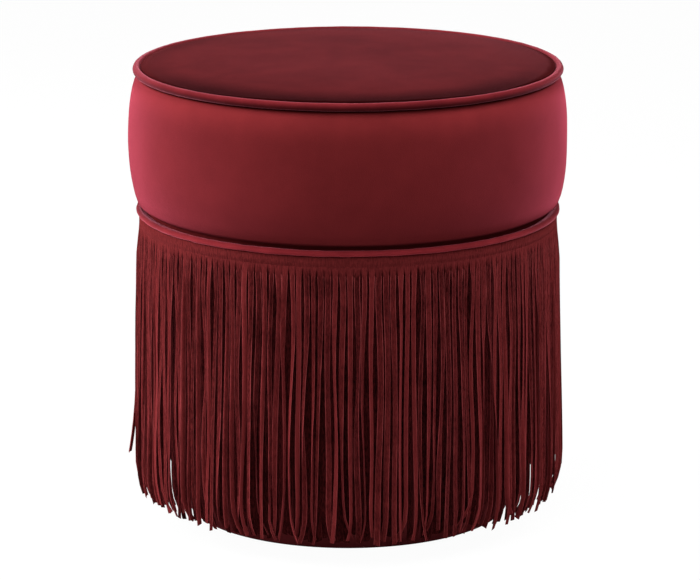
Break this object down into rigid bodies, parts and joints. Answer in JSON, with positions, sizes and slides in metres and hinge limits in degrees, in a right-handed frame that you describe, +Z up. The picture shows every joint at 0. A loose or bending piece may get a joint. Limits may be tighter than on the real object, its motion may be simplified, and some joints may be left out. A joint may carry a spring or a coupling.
{
  "type": "pouf",
  "caption": "Round upholstered pouf with a crowned, piped velvet seat on a hidden drum, with a long cut fringe hanging to just above the floor.",
  "frame": {"origin": "centre of the pouf on the floor", "axes": "+Z up, -Y towards the side that the picture shows"},
  "size_m": [0.4, 0.4, 0.4267],
  "materials": {
    "velvet": "matte",
    "fringe_suede": "matte",
    "welt_cord": "matte",
    "plywood": "matte",
    "pine": "matte",
    "hardboard": "matte",
    "tack_card": "matte",
    "dust_cloth": "matte",
    "firm_foam": "matte",
    "soft_foam": "matte",
    "wadding": "matte",
    "screw_steel": "satin",
    "glide_plastic": "satin"
  },
  "bodies": {
    "root": {"base_ring": "plywood", "drum_cover": "velvet", "drum_slat_1": "pine", "drum_slat_2": "pine", "drum_slat_3": "pine", "drum_slat_4": "pine", "drum_slat_5": "pine", "drum_slat_6": "pine", "drum_slat_7": "pine", "drum_slat_8": "pine", "drum_top_ring": "plywood", "drum_wadding": "wadding", "drum_wall": "hardboard", "dust_cover": "dust_cloth", "foam_core": "firm_foam", "foam_topper": "soft_foam", "fringe_inner": "fringe_suede", "fringe_outer": "fringe_suede", "glide_1": "glide_plastic", "glide_2": "glide_plastic", "glide_3": "glide_plastic", "glide_4": "glide_plastic", "lower_welt_cord": "welt_cord", "lower_welt_cover": "velvet", "seat_board": "plywood", "seat_screws": "screw_steel", "side_band": "velvet", "side_wadding": "wadding", "slat_screws": "screw_steel", "tack_strip": "tack_card", "top_panel": "velvet", "top_wadding": "wadding", "top_welt_cord": "welt_cord", "top_welt_cover": "velvet"}
  },
  "joints": []
}
